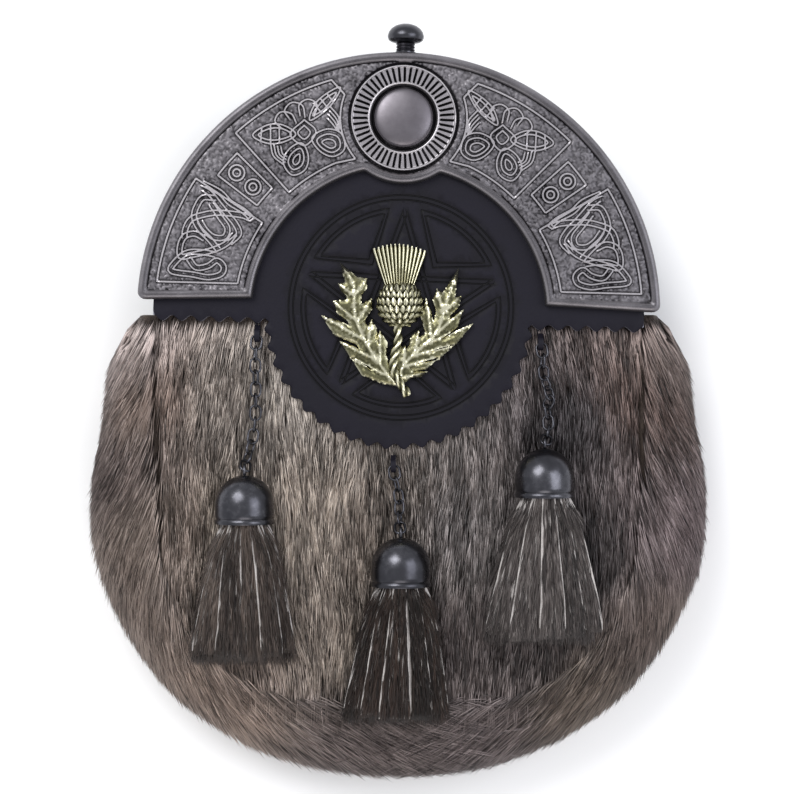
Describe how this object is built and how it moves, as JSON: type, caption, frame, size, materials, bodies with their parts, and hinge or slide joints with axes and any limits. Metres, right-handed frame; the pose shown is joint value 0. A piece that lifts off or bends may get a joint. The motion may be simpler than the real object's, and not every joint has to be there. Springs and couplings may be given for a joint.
{
  "type": "full-dress fur sporran",
  "caption": "Fur-fronted kilt pouch with an arched metal cantle, pinked leather apron with a thistle badge, and fur tassels hung from bells on chains.",
  "frame": {"origin": "on the rear face of the back panel, straight behind the centre of the cantle's arc", "axes": "+Y up the pouch towards the finial, +Z out of the front, +X to the right as seen from the front; the pouch lies on its back"},
  "size_m": [0.2002, 0.2442, 0.0574],
  "materials": {
    "black_leather": "black-blue chrome-tanned leather, satin, embossed on the apron",
    "long_fur": "long-haired dressed pelt, brown and grey with pale tips",
    "panel_fur": "short dressed pelt, cream to grey to brown in upright bands",
    "tassel_fur": "strips of brown-grey pelt on black-dyed hide with pale cut edges",
    "antique_pewter": "cast metal plated antique pewter, dark in the hollows and rubbed bright on the ridges",
    "gunmetal": "polished gunmetal plate",
    "antique_gilt": "cast metal in pale antique gilt with black patina"
  },
  "bodies": {
    "root": {"back_panel": "black_leather", "top_gusset": "black_leather", "fur_band": "long_fur", "fur_front": "panel_fur", "belt_loop_left": "black_leather", "belt_loop_right": "black_leather", "apron": "black_leather", "cantle": "antique_pewter", "cantle_boss": "antique_pewter", "finial": "gunmetal", "thistle_badge": "antique_gilt", "chain_tab_left": "black_leather", "chain_link_left_01": "gunmetal", "chain_link_left_02": "gunmetal", "chain_link_left_03": "gunmetal", "chain_link_left_04": "gunmetal", "chain_link_left_05": "gunmetal", "chain_link_left_06": "gunmetal", "chain_link_left_07": "gunmetal", "chain_link_left_08": "gunmetal", "chain_link_left_09": "gunmetal", "chain_link_left_10": "gunmetal", "chain_link_left_11": "gunmetal", "chain_link_left_12": "gunmetal", "tassel_bell_left": "gunmetal", "tassel_left": "tassel_fur", "chain_tab_middle": "black_leather", "chain_link_middle_01": "gunmetal", "chain_link_middle_02": "gunmetal", "chain_link_middle_03": "gunmetal", "chain_link_middle_04": "gunmetal", "chain_link_middle_05": "gunmetal", "chain_link_middle_06": "gunmetal", "tassel_bell_middle": "gunmetal", "tassel_middle": "tassel_fur", "chain_tab_right": "black_leather", "chain_link_right_01": "gunmetal", "chain_link_right_02": "gunmetal", "chain_link_right_03": "gunmetal", "chain_link_right_04": "gunmetal", "chain_link_right_05": "gunmetal", "chain_link_right_06": "gunmetal", "chain_link_right_07": "gunmetal", "chain_link_right_08": "gunmetal", "chain_link_right_09": "gunmetal", "chain_link_right_10": "gunmetal", "tassel_bell_right": "gunmetal", "tassel_right": "tassel_fur"}
  },
  "joints": []
}
